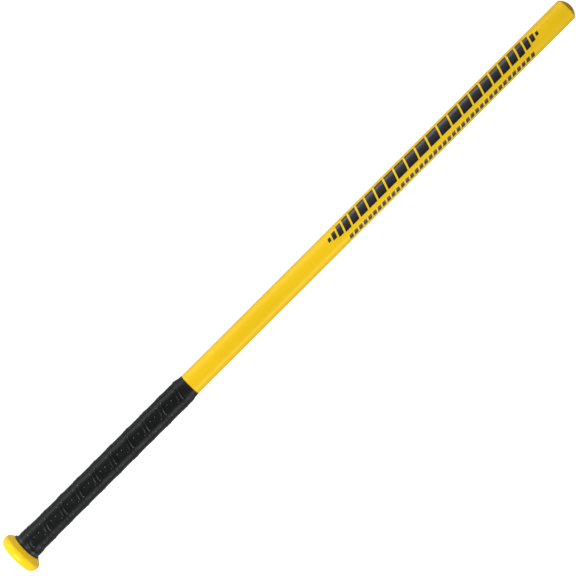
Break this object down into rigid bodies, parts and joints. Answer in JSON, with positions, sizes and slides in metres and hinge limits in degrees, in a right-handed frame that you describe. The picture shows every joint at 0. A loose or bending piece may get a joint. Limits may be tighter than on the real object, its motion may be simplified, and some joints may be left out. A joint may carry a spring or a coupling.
{
  "type": "swing training stick",
  "caption": "Thin straight training stick with a welded knob, a spiral-wrapped grip, a painted tube barrel and a domed end cap.",
  "frame": {"origin": "centre of the knob's flat end face", "axes": "+X along the stick's axis from the knob to the domed tip, +Z out of the side that carries the graphics"},
  "size_m": [0.9144, 0.0528, 0.0528],
  "materials": {
    "yellow_paint": "gloss",
    "knob_paint": "gloss",
    "weld_metal": "matte",
    "collar_rubber": "satin",
    "plug_plastic": "matte",
    "underlay_tape": "matte",
    "grip_leather": "satin",
    "finish_tape": "satin",
    "graphic_film": "gloss"
  },
  "bodies": {
    "root": {"barrel_tube": "yellow_paint", "end_cap": "yellow_paint", "knob": "knob_paint", "knob_weld": "weld_metal", "knob_plug": "plug_plastic", "knob_collar": "collar_rubber", "grip_underlay": "underlay_tape", "grip_wrap": "grip_leather", "grip_finish_tape": "finish_tape", "barrel_bars": "graphic_film", "barrel_dashes": "graphic_film"}
  },
  "joints": []
}
